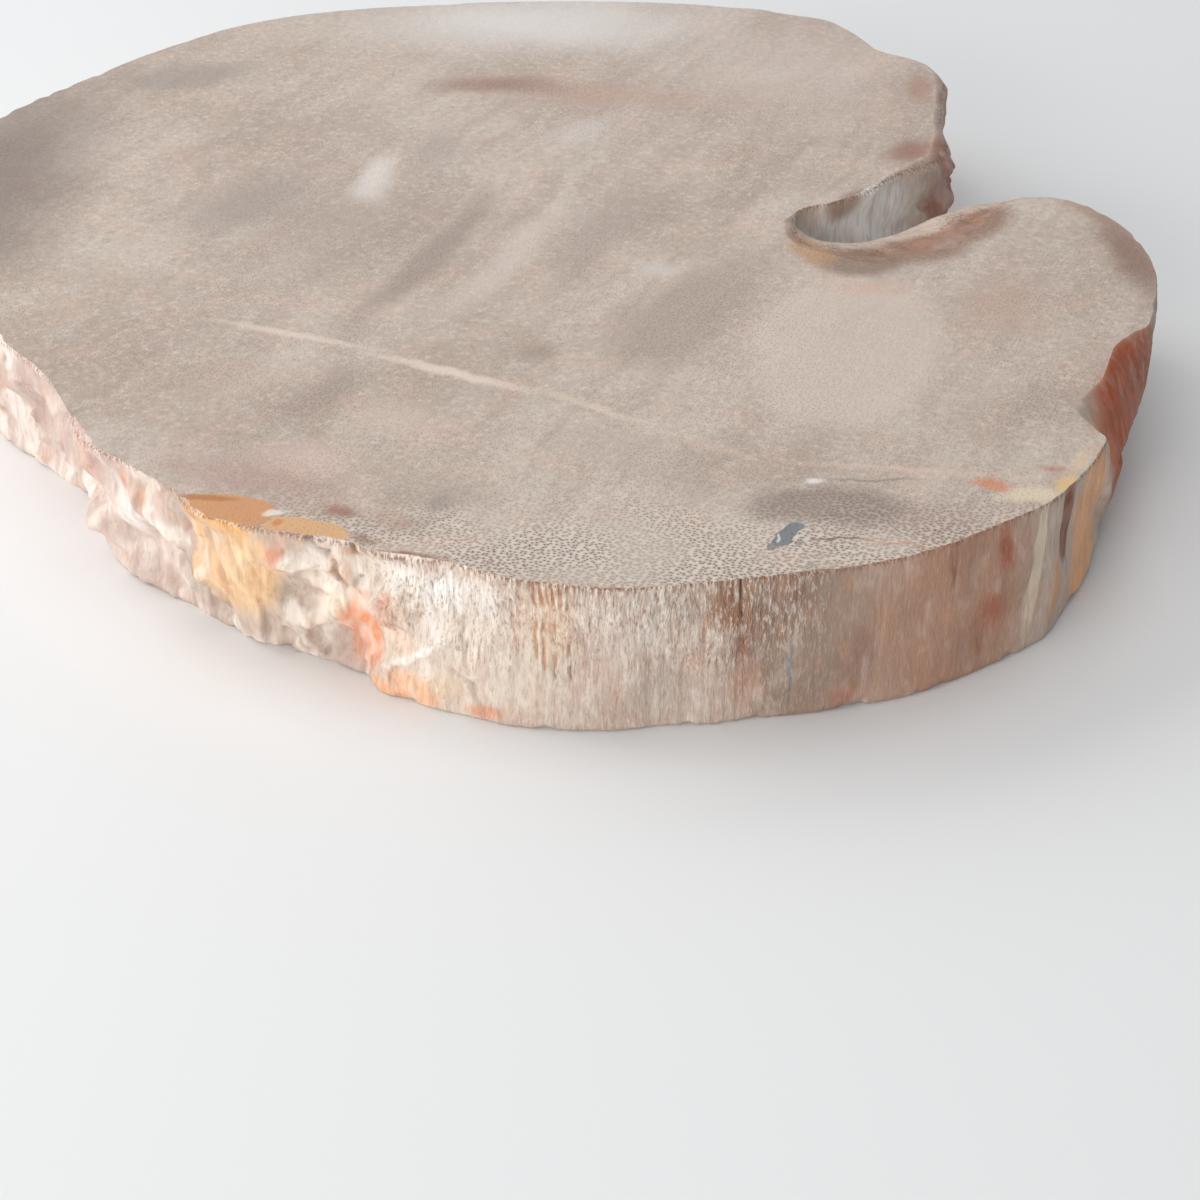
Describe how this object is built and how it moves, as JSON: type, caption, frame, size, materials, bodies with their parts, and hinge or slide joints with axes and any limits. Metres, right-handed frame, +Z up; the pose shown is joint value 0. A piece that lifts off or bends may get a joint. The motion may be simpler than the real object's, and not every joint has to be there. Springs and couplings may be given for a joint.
{
  "type": "wood slice",
  "caption": "Slice of petrified wood: a flat stone slab with a polished face, a rough natural edge and a bark fold, for display or as a coaster or small stand.",
  "frame": {"origin": "centre of the slab's box in plan, on the surface that it rests on", "axes": "+Z up out of the polished face, +Y from the front edge to the back edge across the longer side, +X to the right"},
  "size_m": [0.118, 0.124, 0.0137],
  "materials": {
    "petrified_wood": "satin polish on the sawn top, rough natural skin on the wall, matt sawn underside"
  },
  "bodies": {
    "root": {"wood_slice": "petrified_wood"}
  },
  "joints": []
}
